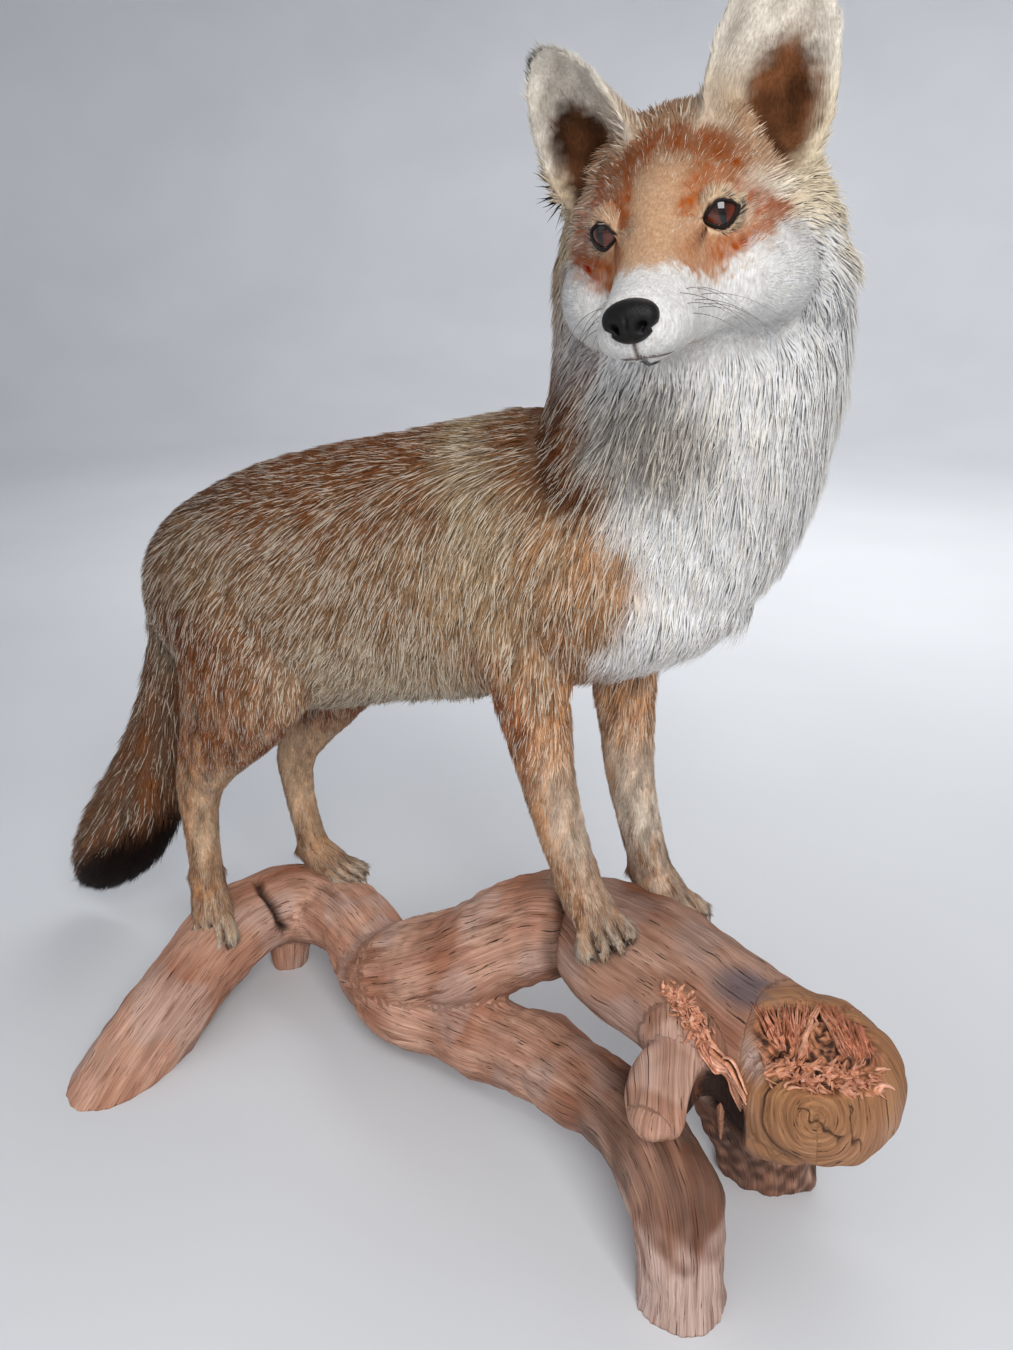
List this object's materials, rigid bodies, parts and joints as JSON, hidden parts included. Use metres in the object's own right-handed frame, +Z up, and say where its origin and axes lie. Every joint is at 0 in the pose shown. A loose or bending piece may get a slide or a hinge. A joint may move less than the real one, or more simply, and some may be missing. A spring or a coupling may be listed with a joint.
{
  "type": "taxidermy red fox on a driftwood base",
  "caption": "Life-size taxidermy red fox standing with its head turned to its right, its paws draped over a forked driftwood root that rests on the floor.",
  "frame": {"origin": "middle of the footprint at the level of the driftwood's feet", "axes": "+X the way the trunk points, +Y the fox's left, +Z up"},
  "size_m": [0.7288, 0.2774, 0.7024],
  "materials": {
    "fur_head": "short dense fur",
    "fur_neck": "long soft fur",
    "fur_trunk": "long agouti fur",
    "fur_tail": "long bushy fur",
    "fur_tail_tip": "long bushy fur",
    "fur_leg": "short fur",
    "fur_paw": "short fur with horn claws",
    "fur_ear": "soft fur round a bare dark hollow",
    "eye_glass": "glossy brown glass eye",
    "nose_pad": "dark, slightly shiny pebbled pad",
    "driftwood": "weathered bare wood with cracks"
  },
  "bodies": {
    "root": {"head": "fur_head", "neck": "fur_neck", "trunk": "fur_trunk", "tail": "fur_tail", "tail_tip": "fur_tail_tip", "foreleg_right": "fur_leg", "foreleg_left": "fur_leg", "hindleg_right": "fur_leg", "hindleg_left": "fur_leg", "forepaw_right": "fur_paw", "forepaw_left": "fur_paw", "hindpaw_right": "fur_paw", "hindpaw_left": "fur_paw", "ear_right": "fur_ear", "ear_left": "fur_ear", "eye_right": "eye_glass", "eye_left": "eye_glass", "nose": "nose_pad", "driftwood_branch": "driftwood", "driftwood_root": "driftwood"}
  },
  "joints": []
}
